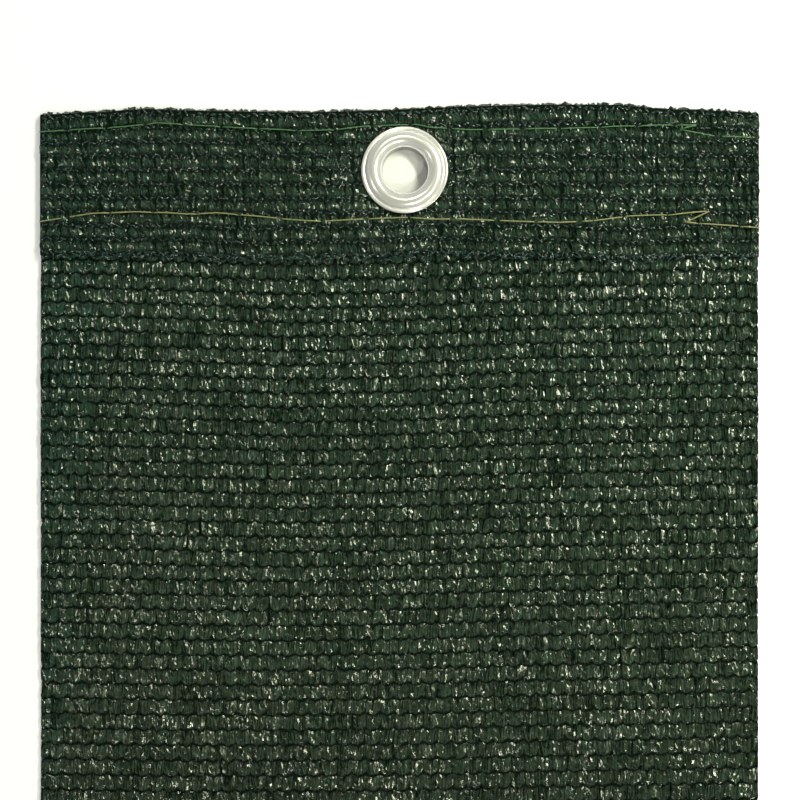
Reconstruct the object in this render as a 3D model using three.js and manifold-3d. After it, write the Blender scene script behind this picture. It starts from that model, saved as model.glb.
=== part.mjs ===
// Privacy screen: a cut length of knitted screen cloth, its hem turned to the front, with one eyelet.
// Sizes are in mm. X runs across the cloth, Y up to the hem and Z up off the surface that it lies on.
import * as THREE from "three";
import { mergeVertices } from "three/addons/utils/BufferGeometryUtils.js";
import Module from "manifold-3d";

// The cloth. Y is 0 at the fold of the hem and negative down the cloth.
const CLOTH_WIDTH = 166.3;
const CLOTH_LENGTH = 180;
const CLOTH_THICKNESS = 1.2;
const PIECE_GAP = 0.3;

// The hem: its front layer is the turned-over cloth, its back layer ends under the front one.
const HEM_FRONT_LENGTH = 35;
const HEM_BACK_LENGTH = 30;
const FOLD_LIFT_REACH = 12;
const FOLD_STEPS = 6;
const LAYER_GAP = 0.35;

// The fold is a little uneven along the top edge: rise is its Y at the distance across.
const FOLD_LINE = [
  { across: -83.2, rise: -1.2 },
  { across: -67, rise: -0.5 },
  { across: -60, rise: 0.2 },
  { across: -51, rise: -0.2 },
  { across: -23, rise: -0.7 },
  { across: -4.5, rise: -0.2 },
  { across: 14, rise: 0.7 },
  { across: 32.5, rise: 1.1 },
  { across: 51, rise: 1.1 },
  { across: 60.5, rise: 0.2 },
  { across: 79, rise: -0.5 },
  { across: 83.2, rise: -0.9 },
];

// The hem's cut edge wanders in a slow and a quick wave, each with its own height.
const EDGE_WAVES = [
  { height: 0.52, reach: 13.1, shift: 0.6 },
  { height: 0.28, reach: 4.7, shift: 0 },
];

// Shallow swells where the cloth doesn't lie quite flat.
const SWELLS = [
  { x: -66, y: -62, halfWidth: 24, halfLength: 40, height: 0.9 },
  { x: -22, y: -70, halfWidth: 26, halfLength: 26, height: 0.6 },
  { x: 44, y: -84, halfWidth: 34, halfLength: 30, height: 0.9 },
  { x: -30, y: -124, halfWidth: 38, halfLength: 24, height: 0.8 },
  { x: 58, y: -138, halfWidth: 22, halfLength: 26, height: 0.7 },
];

// The eyelet, measured from its own axis.
const EYELET_X = 1.2;
const EYELET_Y = -15;
const FLANGE_RADIUS = 10;
const LIP_INNER_RADIUS = 9.3;
const GROOVE_RADIUS = 9.15;
const CREST_RADIUS = 7.45;
const BORE_RADIUS = 5.3;
const METAL_THICKNESS = 0.5;
const DOME_HEIGHT = 1.7;
const LIP_HEIGHT = 0.5;
const GROOVE_HEIGHT = 0.4;
const CURL_RADIUS = 7.2;
const CURL_HEIGHT = 0.6;
const WASHER_RADIUS = 9.8;
const WASHER_RING_RADIUS = 8.2;
const WASHER_SEAT_RADIUS = 7.7;
const WASHER_BORE_RADIUS = 6.2;
const WASHER_UPPER_INSET = 0.35;
const WASHER_LOWER_INSET = 0.15;
const LATHE_SEGMENTS = 40;
const DOME_STEPS = 6;

// Round the eyelet the cloth is pressed thinner and stands on the washer.
const PRESSED_THICKNESS = 0.9;
const PRESSED_LIFT = METAL_THICKNESS + PIECE_GAP;
const PRESSED_RADIUS = 13.5;
const PRESSED_FADE = 6.5;
const CLOTH_HOLE_RADIUS = 8.4;
const HOLE_SIDES = 32;

// Grid steps, finer round the eyelet.
const COARSE_STEP = 8;
const FINE_STEP = 2.5;
const FINE_REACH = 20;
const CUTTER_HEIGHT = 40;
const MERGE_DISTANCE = 1e-4;

const wasm = await Module();
wasm.setup();

// A smooth step from 0 to 1.
function ease(t) {
  const clamped = Math.min(1, Math.max(0, t));
  return clamped * clamped * (3 - 2 * clamped);
}

function foldRise(x) {
  const next = FOLD_LINE.findIndex((point) => point.across >= x);
  if (next <= 0) {
    return next === 0 ? FOLD_LINE[0].rise : FOLD_LINE[FOLD_LINE.length - 1].rise;
  }
  const from = FOLD_LINE[next - 1];
  const to = FOLD_LINE[next];
  const share = ease((x - from.across) / (to.across - from.across));
  return from.rise + (to.rise - from.rise) * share;
}

function hemEdge(x) {
  let edge = -HEM_FRONT_LENGTH;
  for (const wave of EDGE_WAVES) {
    edge += wave.height * Math.sin(x / wave.reach + wave.shift);
  }
  return edge;
}

// 1 round the eyelet, where the cloth is pressed, and 0 away from it.
function pressedAt(x, y) {
  const distance = Math.hypot(x - EYELET_X, y - EYELET_Y);
  return 1 - ease((distance - PRESSED_RADIUS) / PRESSED_FADE);
}

function thicknessAt(x, y) {
  return CLOTH_THICKNESS + (PRESSED_THICKNESS - CLOTH_THICKNESS) * pressedAt(x, y);
}

// Height of the cloth's underside above the surface.
function liftAt(x, y) {
  let lift = PRESSED_LIFT * pressedAt(x, y);
  for (const swell of SWELLS) {
    const across = (x - swell.x) / swell.halfWidth;
    const along = (y - swell.y) / swell.halfLength;
    const inside = Math.max(0, 1 - across * across - along * along);
    lift += swell.height * inside * inside;
  }
  return lift;
}

// Stations from one end to the other, with fine steps round a centre.
function stations(from, to, centre) {
  const fineFrom = Math.max(from, centre - FINE_REACH);
  const fineTo = Math.min(to, centre + FINE_REACH);
  const stretches = [
    { from, to: fineFrom, step: COARSE_STEP },
    { from: fineFrom, to: fineTo, step: FINE_STEP },
    { from: fineTo, to, step: COARSE_STEP },
  ];
  const found = [from];
  for (const stretch of stretches) {
    const length = stretch.to - stretch.from;
    const count = length > 0 ? Math.max(1, Math.round(length / stretch.step)) : 0;
    for (let i = 1; i <= count; i += 1) {
      found.push(stretch.from + (length * i) / count);
    }
  }
  return found;
}

// A closed sheet between two faces that share their stations across and along.
function thickSheet(across, along, outerAt, innerAt) {
  const columns = along.length;
  const positions = [];
  const faces = [];
  for (const face of [outerAt, innerAt]) {
    for (const x of across) {
      for (const t of along) {
        positions.push(...face(x, t));
      }
    }
  }
  const innerStart = across.length * columns;
  const outer = (i, k) => i * columns + k;
  const inner = (i, k) => innerStart + i * columns + k;
  const quad = (a, b, c, d) => faces.push(a, b, c, a, c, d);
  const lastRow = across.length - 1;
  const lastColumn = columns - 1;
  for (let i = 0; i < lastRow; i += 1) {
    for (let k = 0; k < lastColumn; k += 1) {
      quad(outer(i, k), outer(i + 1, k), outer(i + 1, k + 1), outer(i, k + 1));
      quad(inner(i, k), inner(i, k + 1), inner(i + 1, k + 1), inner(i + 1, k));
    }
    quad(outer(i, 0), inner(i, 0), inner(i + 1, 0), outer(i + 1, 0));
    quad(outer(i, lastColumn), outer(i + 1, lastColumn), inner(i + 1, lastColumn), inner(i, lastColumn));
  }
  for (let k = 0; k < lastColumn; k += 1) {
    quad(outer(0, k), outer(0, k + 1), inner(0, k + 1), inner(0, k));
    quad(outer(lastRow, k), inner(lastRow, k), inner(lastRow, k + 1), outer(lastRow, k + 1));
  }
  const geometry = new THREE.BufferGeometry();
  geometry.setAttribute("position", new THREE.Float32BufferAttribute(positions, 3));
  geometry.setIndex(faces);
  return geometry;
}

function toManifold(geometry) {
  const bare = new THREE.BufferGeometry();
  bare.setAttribute("position", geometry.getAttribute("position"));
  bare.setIndex(geometry.index);
  const merged = mergeVertices(bare, MERGE_DISTANCE);
  const mesh = new wasm.Mesh({
    numProp: 3,
    vertProperties: new Float32Array(merged.attributes.position.array),
    triVerts: new Uint32Array(merged.index.array),
  });
  return new wasm.Manifold(mesh);
}

function toGeometry(solid) {
  const mesh = solid.getMesh();
  const geometry = new THREE.BufferGeometry();
  geometry.setAttribute("position", new THREE.BufferAttribute(new Float32Array(mesh.vertProperties), 3));
  geometry.setIndex(new THREE.BufferAttribute(new Uint32Array(mesh.triVerts), 1));
  return geometry;
}

// The single layer below the hem, its upper end tucked under the hem's front layer.
function bodyGeometry(across) {
  const top = -HEM_BACK_LENGTH - PIECE_GAP;
  const along = stations(-CLOTH_LENGTH, top, top + FINE_REACH);
  const topAt = (x, y) => [x, y, liftAt(x, y) + thicknessAt(x, y)];
  const underAt = (x, y) => [x, y, liftAt(x, y)];
  const sheet = toManifold(thickSheet(across, along, topAt, underAt));
  const trim = new THREE.BoxGeometry(CLOTH_WIDTH, CLOTH_LENGTH * 2, CUTTER_HEIGHT);
  return toGeometry(sheet.intersect(toManifold(trim)));
}

// The path of the hem's section runs from the back layer's end, round the fold, to the front edge.
function hemPath() {
  const back = stations(-HEM_BACK_LENGTH, 0, EYELET_Y).map((y) => ({ part: "back", y }));
  const fold = Array.from({ length: FOLD_STEPS - 1 }, (_, i) => ({
    part: "fold",
    angle: (Math.PI * (i + 1)) / FOLD_STEPS,
  }));
  const front = stations(-HEM_FRONT_LENGTH, 0, EYELET_Y)
    .reverse()
    .map((y) => ({ part: "front", y }));
  return [...back, ...fold, ...front];
}

// One point of the hem: outward is 1 on the outer face of the folded cloth and 0 on the inner one.
function hemPoint(x, step, outward) {
  const foldRadius = CLOTH_THICKNESS + LAYER_GAP / 2;
  const foldY = foldRise(x) - foldRadius;
  if (step.part === "fold") {
    const lift = liftAt(x, foldY);
    const thickness = thicknessAt(x, foldY);
    const radius = LAYER_GAP / 2 + outward * thickness;
    const centre = lift + thickness + LAYER_GAP / 2;
    return [x, foldY + radius * Math.sin(step.angle), centre - radius * Math.cos(step.angle)];
  }
  const toFold = ease(1 + step.y / FOLD_LIFT_REACH);
  const toEdge = step.part === "front" ? ease((EYELET_Y - step.y) / (HEM_FRONT_LENGTH + EYELET_Y)) : 0;
  const y = step.y + foldY * toFold + (hemEdge(x) + HEM_FRONT_LENGTH) * toEdge;
  const lift = liftAt(x, y);
  const thickness = thicknessAt(x, y);
  if (step.part === "back") {
    return [x, y, lift + (1 - outward) * thickness];
  }
  return [x, y, lift + thickness + LAYER_GAP + outward * thickness];
}

function hemGeometry(across) {
  const path = hemPath();
  const strip = thickSheet(
    across,
    path,
    (x, step) => hemPoint(x, step, 0),
    (x, step) => hemPoint(x, step, 1),
  );
  const punch = new THREE.CylinderGeometry(
    CLOTH_HOLE_RADIUS,
    CLOTH_HOLE_RADIUS,
    CUTTER_HEIGHT,
    HOLE_SIDES,
  );
  punch.rotateX(Math.PI / 2);
  punch.translate(EYELET_X, EYELET_Y, 0);
  return toGeometry(toManifold(strip).subtract(toManifold(punch)));
}

// A ring turned about the eyelet's axis from a closed profile of radius and height.
function turned(profile) {
  const points = profile.map(([radius, height]) => new THREE.Vector2(radius, height));
  points.push(points[0].clone());
  const geometry = new THREE.LatheGeometry(points, LATHE_SEGMENTS);
  geometry.rotateX(Math.PI / 2);
  geometry.translate(EYELET_X, EYELET_Y, 0);
  return geometry;
}

// Half of a dome's section, from its outer foot over the crest to its inner foot.
function domeArc(outerRadius, outerHeight, innerRadius, innerHeight, crestRadius, crestHeight) {
  const arc = [];
  for (let i = 0; i <= DOME_STEPS; i += 1) {
    const angle = ((Math.PI / 2) * i) / DOME_STEPS;
    const radius = crestRadius + (outerRadius - crestRadius) * Math.cos(angle);
    arc.push([radius, outerHeight + (crestHeight - outerHeight) * Math.sin(angle)]);
  }
  for (let i = 1; i <= DOME_STEPS; i += 1) {
    const angle = ((Math.PI / 2) * i) / DOME_STEPS;
    const radius = crestRadius - (crestRadius - innerRadius) * Math.sin(angle);
    arc.push([radius, innerHeight + (crestHeight - innerHeight) * Math.cos(angle)]);
  }
  return arc;
}

function eyeletGeometry() {
  const seat = PRESSED_LIFT + 2 * PRESSED_THICKNESS + LAYER_GAP + PIECE_GAP;
  const crest = seat + DOME_HEIGHT;
  const barrelRadius = BORE_RADIUS + METAL_THICKNESS;
  const outside = domeArc(GROOVE_RADIUS, seat + GROOVE_HEIGHT, BORE_RADIUS, seat, CREST_RADIUS, crest);
  const inside = domeArc(
    GROOVE_RADIUS - METAL_THICKNESS,
    seat,
    barrelRadius,
    seat,
    CREST_RADIUS,
    crest - METAL_THICKNESS,
  );
  const profile = [
    [FLANGE_RADIUS, seat],
    [FLANGE_RADIUS, seat + LIP_HEIGHT / 2],
    [LIP_INNER_RADIUS, seat + LIP_HEIGHT],
    ...outside,
    [BORE_RADIUS, CURL_HEIGHT],
    [BORE_RADIUS + METAL_THICKNESS / 2, CURL_HEIGHT / 4],
    [barrelRadius + METAL_THICKNESS / 2, 0],
    [CURL_RADIUS - METAL_THICKNESS / 2, 0],
    [CURL_RADIUS, CURL_HEIGHT / 2],
    [CURL_RADIUS - METAL_THICKNESS / 2, CURL_HEIGHT],
    [barrelRadius + METAL_THICKNESS / 2, CURL_HEIGHT],
    [barrelRadius, CURL_HEIGHT + METAL_THICKNESS / 2],
    ...inside.reverse(),
  ];
  return turned(profile);
}

function washerGeometry() {
  const seatTop = CURL_HEIGHT + PIECE_GAP + METAL_THICKNESS;
  const seatUnder = CURL_HEIGHT + PIECE_GAP;
  return turned([
    [WASHER_RADIUS, 0],
    [WASHER_RADIUS, METAL_THICKNESS],
    [WASHER_RING_RADIUS, METAL_THICKNESS],
    [WASHER_SEAT_RADIUS, seatTop],
    [WASHER_BORE_RADIUS, seatTop],
    [WASHER_BORE_RADIUS, seatUnder],
    [WASHER_SEAT_RADIUS - WASHER_UPPER_INSET, seatUnder],
    [WASHER_SEAT_RADIUS + WASHER_LOWER_INSET, 0],
  ]);
}

const clothColour = new THREE.MeshStandardMaterial({ color: 0x303b2d, roughness: 0.6, metalness: 0 });
const hemColour = new THREE.MeshStandardMaterial({ color: 0x2a382b, roughness: 0.6, metalness: 0 });
const eyeletColour = new THREE.MeshStandardMaterial({ color: 0xd4d7d9, roughness: 0.22, metalness: 1 });
const washerColour = new THREE.MeshStandardMaterial({ color: 0xc4c7c9, roughness: 0.35, metalness: 1 });

const across = stations(-CLOTH_WIDTH / 2, CLOTH_WIDTH / 2, EYELET_X);
const pieces = [
  { name: "screen_body", geometry: bodyGeometry(across), material: clothColour },
  { name: "hem_strip", geometry: hemGeometry(across), material: hemColour },
  { name: "eyelet", geometry: eyeletGeometry(), material: eyeletColour },
  { name: "eyelet_washer", geometry: washerGeometry(), material: washerColour },
];

const screen = new THREE.Group();
screen.name = "privacy_screen";
for (const piece of pieces) {
  const mesh = new THREE.Mesh(piece.geometry, piece.material);
  mesh.name = piece.name;
  screen.add(mesh);
}

// The origin is the middle of the underside.
const box = new THREE.Box3().setFromObject(screen);
const middle = box.getCenter(new THREE.Vector3());
for (const mesh of screen.children) {
  mesh.position.set(-middle.x, -middle.y, -box.min.z);
}

export default screen;
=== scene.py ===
# %% [markdown]
# # A knitted privacy screen with a turned hem and an eyelet
# Privacy screen cloth is warp-knitted from flat plastic tape. Each row of loops lets its tape bulge
# out in small crumpled scales on the face. On the reverse it shows a chain of tight stitches, with
# upright strips of tape between two chains. The upper end of the cloth is turned over to the front
# and sewn down with two rows of thread, so the hem shows the reverse and the cloth below it shows
# the face. This lesson builds the knit as real geometry on a thin ground sheet that follows the
# folded cloth.

import math

import bpy
import numpy as np
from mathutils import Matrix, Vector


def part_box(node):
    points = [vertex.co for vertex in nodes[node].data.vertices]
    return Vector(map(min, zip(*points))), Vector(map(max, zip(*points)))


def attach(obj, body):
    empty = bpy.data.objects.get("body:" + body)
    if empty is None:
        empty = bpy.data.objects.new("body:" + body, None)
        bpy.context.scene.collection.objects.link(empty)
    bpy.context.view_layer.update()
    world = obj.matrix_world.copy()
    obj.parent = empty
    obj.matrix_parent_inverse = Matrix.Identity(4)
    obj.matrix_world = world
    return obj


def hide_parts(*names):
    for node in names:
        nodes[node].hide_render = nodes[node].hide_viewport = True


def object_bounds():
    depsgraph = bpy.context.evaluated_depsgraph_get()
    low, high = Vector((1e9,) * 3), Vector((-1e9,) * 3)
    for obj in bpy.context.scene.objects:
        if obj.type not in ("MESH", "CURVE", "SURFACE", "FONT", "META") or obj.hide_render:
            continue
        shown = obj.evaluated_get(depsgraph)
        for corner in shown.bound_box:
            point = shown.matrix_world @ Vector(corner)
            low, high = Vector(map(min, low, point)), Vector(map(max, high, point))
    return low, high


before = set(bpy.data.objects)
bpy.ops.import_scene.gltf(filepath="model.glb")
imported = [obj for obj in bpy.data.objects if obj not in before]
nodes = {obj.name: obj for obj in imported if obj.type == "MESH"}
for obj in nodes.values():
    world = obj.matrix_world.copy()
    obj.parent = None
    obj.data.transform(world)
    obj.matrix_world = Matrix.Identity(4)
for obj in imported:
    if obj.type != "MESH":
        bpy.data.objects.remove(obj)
solid_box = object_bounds()
MM = 0.001
rng = np.random.default_rng(11)
rounded_box = [tuple(round(c, 4) for c in corner) for corner in solid_box]
print("solids:", sorted(nodes), "box:", rounded_box)

# %% [markdown]
# ## The cloth as a flat strip with a map into space
# Every stitch sits somewhere on the flat cloth: `x` across it, `s` along it from the cut end, and
# `h` above its middle. One function maps those three numbers to the folded cloth: up the body,
# round the fold and back down the front of the hem. A modifier could fold a finished mesh too, but
# a plain function keeps thousands of stitches exact and costs nothing. All lengths are in mm, and
# the outline comes from the solids' boxes, so the knit always fits them.

# %% Sizes of the cloth
CLOTH_LENGTH = 180.0
CLOTH_THICKNESS = 1.2
LAYER_GAP = 0.35
HEM_FRONT_LENGTH = 35.0
FOLD_LIFT_REACH = 12.0

body_low, body_high = (np.array(corner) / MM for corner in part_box("screen_body"))
half_width = body_high[0]
fold_line_y = body_low[1] + CLOTH_LENGTH
eyelet_low, eyelet_high = (np.array(corner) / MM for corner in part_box("eyelet"))
eyelet_x, eyelet_y = (eyelet_low[:2] + eyelet_high[:2]) / 2
eyelet_local_y = eyelet_y - fold_line_y
print("half width %.2f mm, fold line at y = %.2f mm" % (half_width, fold_line_y))

# %% [markdown]
# ### Waves and swells
# Cloth that lies on a floor is never quite flat or straight. A few short tables hold what the eye
# notices: how the fold line wanders, how the hem's cut edge waves, how the rows of loops sag and
# rise, where the cloth swells off the floor, and how the eyelet presses it thin. Places across the
# cloth are `across` or `x`, and `y` counts from the fold line, so it is negative down the body.

# %% Waves and swells of the cloth
FOLD_LINE = {
    "across": [-83.2, -67, -60, -51, -23, -4.5, 14, 32.5, 51, 60.5, 79, 83.2],
    "rise": [-1.2, -0.5, 0.2, -0.2, -0.7, -0.2, 0.7, 1.1, 1.1, 0.2, -0.5, -0.9],
}
EDGE_WAVES = [
    {"height": 0.52, "reach": 13.1, "shift": 0.6},
    {"height": 0.28, "reach": 4.7, "shift": 0.0},
]
ROW_SAG = {
    "across": [-76, -51, -26, 0, 26, 51, 76],
    "near_hem": [-0.3, 0.4, 1.3, 0.8, -0.4, -0.8, -1.2],
    "near_end": [-0.1, 0.3, 0.3, 0.1, -0.6, -1.1, -1.6],
}
SAG_STATIONS = {"near_hem": -56.0, "near_end": -137.0}
SAG_STARTS = {"under_hem": -24.0, "full": -40.0}
SAG_STOPS = {"full": -158.0, "at_cut": -178.0}
SWELLS = [
    {"x": -66, "y": -62, "half_width": 24, "half_length": 40, "height": 0.9},
    {"x": -22, "y": -70, "half_width": 26, "half_length": 26, "height": 0.6},
    {"x": 44, "y": -84, "half_width": 34, "half_length": 30, "height": 0.9},
    {"x": -30, "y": -124, "half_width": 38, "half_length": 24, "height": 0.8},
    {"x": 58, "y": -138, "half_width": 22, "half_length": 26, "height": 0.7},
]
PRESSED_THICKNESS = 0.9
PRESSED_LIFT = 0.8
PRESSED_RADIUS = 13.5
PRESSED_FADE = 6.5


# %% The shape in which the cloth lies
def ease(t):
    """A smooth step from 0 to 1."""
    t = np.clip(t, 0.0, 1.0)
    return t * t * (3 - 2 * t)


def fold_rise(x):
    """How far the fold wanders from its mean line."""
    return np.interp(x, FOLD_LINE["across"], FOLD_LINE["rise"])


def hem_edge_wave(x):
    """How far the hem's cut edge wanders, in a slow and a quick wave."""
    return sum(wave["height"] * np.sin(x / wave["reach"] + wave["shift"]) for wave in EDGE_WAVES)


def row_sag(x, y):
    """How far the body's rows hang below straight lines, down to nought under the hem."""
    near_hem = np.interp(x, ROW_SAG["across"], ROW_SAG["near_hem"])
    near_end = np.interp(x, ROW_SAG["across"], ROW_SAG["near_end"])
    way = SAG_STATIONS["near_hem"] - SAG_STATIONS["near_end"]
    share = np.clip((SAG_STATIONS["near_hem"] - y) / way, 0, 1)
    below_hem = ease((SAG_STARTS["under_hem"] - y) / (SAG_STARTS["under_hem"] - SAG_STARTS["full"]))
    above_cut = ease((y - SAG_STOPS["at_cut"]) / (SAG_STOPS["full"] - SAG_STOPS["at_cut"]))
    return (near_hem + (near_end - near_hem) * share) * below_hem * above_cut


def eyelet_distance(x, y):
    """Distance from the eyelet's axis, y counted from the fold line."""
    return np.hypot(x - eyelet_x, y - eyelet_local_y)


def thickness_at(x, y):
    """Thickness of one layer, which is pressed thinner round the eyelet."""
    pressed = 1 - ease((eyelet_distance(x, y) - PRESSED_RADIUS) / PRESSED_FADE)
    return CLOTH_THICKNESS + (PRESSED_THICKNESS - CLOTH_THICKNESS) * pressed


def lift_at(x, y):
    """Height of the cloth's underside above the surface that it lies on."""
    lift = PRESSED_LIFT * (1 - ease((eyelet_distance(x, y) - PRESSED_RADIUS) / PRESSED_FADE))
    for swell in SWELLS:
        across = (x - swell["x"]) / swell["half_width"]
        along = (y - swell["y"]) / swell["half_length"]
        lift = lift + swell["height"] * np.maximum(0, 1 - across**2 - along**2) ** 2
    return lift


# %% The map from the flat strip to the folded cloth
MIDDLE_RADIUS = (LAYER_GAP + CLOTH_THICKNESS) / 2
FOLD_RADIUS = CLOTH_THICKNESS + LAYER_GAP / 2
fold_start = CLOTH_LENGTH - FOLD_RADIUS
fold_end = fold_start + math.pi * MIDDLE_RADIUS
strip_length = fold_end + HEM_FRONT_LENGTH - FOLD_RADIUS


def place(x, s, h):
    """Points in mm of the laid cloth: h is positive on the face and negative on the reverse."""
    x, s, h = np.broadcast_arrays(x, s, h)
    x = np.clip(x, -half_width, half_width)
    back_y = np.minimum(s, fold_start) - CLOTH_LENGTH
    front_y = -FOLD_RADIUS - np.maximum(s - fold_end, 0)
    on_front = s > fold_end
    flat_y = np.where(on_front, front_y, back_y)
    to_fold = ease(1 + (flat_y + FOLD_RADIUS) / FOLD_LIFT_REACH)
    to_edge = ease((eyelet_local_y - flat_y) / (HEM_FRONT_LENGTH + eyelet_local_y)) * on_front
    y = flat_y + fold_rise(x) * to_fold + hem_edge_wave(x) * to_edge
    y = y - row_sag(x, flat_y) * ~on_front
    lift = lift_at(x, y)
    thick = thickness_at(x, y)
    height = h * thick / CLOTH_THICKNESS
    turn = np.clip((s - fold_start) / (fold_end - fold_start), 0, 1) * math.pi
    radius = (LAYER_GAP + thick) / 2 - height
    middle = lift + thick + LAYER_GAP / 2
    z = middle - radius * np.cos(turn)
    y = y + radius * np.sin(turn)
    return np.stack([x, y + fold_line_y, z], axis=-1)


print("developed length of the cloth: %.1f mm" % strip_length)

# %% [markdown]
# ## Helpers that turn arrays into meshes
# A stitch here is a small grid of points. Stacking the grids of a whole row in one array lets NumPy
# work out all of them at once, which is many times faster than adding them one by one with
# operators.


# %% Mesh helpers
def add_mesh(name, points, quads, marks=None, smooth=False):
    """A mesh object from points in mm and quads. marks holds named numbers, one for each point."""
    mesh = bpy.data.meshes.new(name)
    mesh.vertices.add(len(points))
    mesh.vertices.foreach_set("co", (points * MM).astype(np.float32).ravel())
    mesh.loops.add(quads.size)
    mesh.loops.foreach_set("vertex_index", quads.astype(np.int32).ravel())
    mesh.polygons.add(len(quads))
    mesh.polygons.foreach_set("loop_start", np.arange(0, quads.size, 4, dtype=np.int32))
    mesh.polygons.foreach_set("use_smooth", np.full(len(quads), smooth))
    mesh.update(calc_edges=True)
    mesh.validate()
    for mark, values in (marks or {}).items():
        layer = mesh.attributes.new(mark, "FLOAT", "POINT")
        layer.data.foreach_set("value", values.astype(np.float32).ravel())
    piece = bpy.data.objects.new(name, mesh)
    bpy.context.scene.collection.objects.link(piece)
    return piece


def grid_quads(rows, columns):
    """Quads of one grid of rows by columns points."""
    corner = (np.arange(rows - 1)[:, None] * columns + np.arange(columns - 1)[None, :]).ravel()
    return np.stack([corner, corner + columns, corner + columns + 1, corner + 1], axis=1)


class PatchPile:
    """Collects grids of points until they are made into one mesh."""

    def __init__(self):
        self.points = []
        self.quads = []
        self.tones = []
        self.shade_marks = []
        self.count = 0

    def add(self, grids, depth, tones=None, flip=False):
        """Takes patches by rows by columns by 3. depth marks painted shade: 1 for points well out of
        the creases.
        """
        patches, rows, columns = grids.shape[:3]
        quads = grid_quads(rows, columns)
        if flip:
            quads = quads[:, ::-1]
        starts = self.count + np.arange(patches) * rows * columns
        self.points.append(grids.reshape(-1, 3))
        self.quads.append((starts[:, None, None] + quads[None]).reshape(-1, 4))
        if tones is None:
            tones = rng.uniform(0, 1, patches)
        self.tones.append(np.repeat(tones, rows * columns))
        self.shade_marks.append(np.broadcast_to(depth, (patches, rows, columns)).ravel())
        self.count += patches * rows * columns

    def triangles(self):
        """Number of triangles that the quads make."""
        return 2 * sum(len(quads) for quads in self.quads)

    def make(self, name, smooth=False):
        """One object from all grids, with a tone for each patch and a painted-shade depth for each
        point.
        """
        piece = add_mesh(
            name,
            np.concatenate(self.points),
            np.concatenate(self.quads),
            {"tone": np.concatenate(self.tones), "depth": np.concatenate(self.shade_marks)},
            smooth,
        )
        print(name, "has", self.triangles(), "triangles")
        return piece


# %% [markdown]
# ## The knit's rows and columns
# The rows lie closer together in the hem than down in the body, where the cloth has stretched a
# little. The columns do the same. Each row also wanders sideways, because a knit is never quite
# square.

# %% Rows and columns
HEM_ROW_PITCH = 3.27
BODY_ROW_PITCH = 3.30
ROW_STRETCH = 0.00248
BODY_TOP_Y = -52.0
HEM_COLUMN_PITCH = 3.13
BODY_COLUMN_PITCH = 3.17
COLUMN_STRETCH = 0.19
STRETCH_REACH = 125.0
PITCH_UNIT = 3.4


def row_pitch(s):
    """Distance from one row to the next."""
    y = s - CLOTH_LENGTH
    stretched = BODY_ROW_PITCH + (BODY_TOP_Y - y) * ROW_STRETCH
    return np.where(y > -HEM_FRONT_LENGTH, HEM_ROW_PITCH, stretched)


def column_pitch(s):
    """Distance from one loop to the next in its row."""
    down = (-(s - CLOTH_LENGTH) - HEM_FRONT_LENGTH) / STRETCH_REACH
    stretched = BODY_COLUMN_PITCH + COLUMN_STRETCH * np.maximum(down, 0) ** 2
    return np.where(down < 0, HEM_COLUMN_PITCH, stretched)


# %% Room for the eyelet
CLEAR_RADIUS = 7.8


def strip_y(s):
    """Distance up from the fold line of a place on either layer."""
    return np.where(s > fold_end, -FOLD_RADIUS - (s - fold_end), s - CLOTH_LENGTH)


def clear_of_eyelet(x, s):
    """True where a stitch isn't inside the eyelet."""
    return eyelet_distance(x, strip_y(s)) > CLEAR_RADIUS


# %% Places of the rows
EDGE_CHAIN_INSET = 0.6
FIRST_ROW = 0.25
ROW_SHIFT = 0.06
LEAST_LAST_GAP = 1.5
LEG_MARGIN = 0.1
ROW_WANDER = [{"height": 0.5, "reach": 31.0}, {"height": 0.25, "reach": 9.0}]
hem_row_count = int((strip_length - EDGE_CHAIN_INSET - fold_start) / HEM_ROW_PITCH)
hem_starts = strip_length - EDGE_CHAIN_INSET - HEM_ROW_PITCH * np.arange(hem_row_count, -1, -1)
row_starts = [FIRST_ROW]
while row_starts[-1] + LEAST_LAST_GAP * row_pitch(row_starts[-1]) < hem_starts[0]:
    row_starts.append(row_starts[-1] + float(row_pitch(row_starts[-1])))
row_starts.extend(float(s) for s in hem_starts)
rows = []
for s in row_starts:
    pitches = {"pitch": float(row_pitch(s)), "columns": float(column_pitch(s))}
    rows.append({"s": s, "shift": rng.normal(0, ROW_SHIFT), **pitches})
print(len(rows), "rows of loops,", len(hem_starts), "of them on the hem")


def loop_middles(row):
    """Middles of the loops of one row, from the left edge to the right edge."""
    pitch = row["columns"]
    count = int(half_width / pitch) + 2
    wander = sum(wave["height"] * math.sin(row["s"] / wave["reach"]) for wave in ROW_WANDER)
    middles = np.arange(-count, count + 1) * pitch + (wander + row["shift"])
    return middles[np.abs(middles) < half_width + pitch / 2]


def leg_middles(row):
    """Middles of a row's legs, two to a loop, and the side of the loop on which each stands."""
    middles = loop_middles(row)
    sides = np.tile([-1.0, 1.0], len(middles))
    legs = np.repeat(middles, 2) + sides * row["columns"] / 4
    inside = np.abs(legs) < half_width + LEG_MARGIN
    kept = inside & clear_of_eyelet(legs, row["s"] + row["pitch"] / 2)
    return legs[kept], sides[kept]


# %% [markdown]
# ## The face: rows of crumpled stitches
# On the face each loop of tape is a V: two legs meet in a rounded tip, which hangs over the row
# below, and spread apart towards their upper ends, so that a small dark pocket stays open between
# them. Each leg bulges and is crumpled lengthwise into sharp pleats. A noise displacement would
# look like soft rubber, so each leg is a small grid of points whose columns step up and down like
# pleated film. Flat shading keeps the creases crisp, and those creases catch the light as short
# glints. `LEG_PROFILE` runs from the tip to the upper end in nine steps, and `LEG_JITTER` says how
# far each leg may stray from it.

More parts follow.
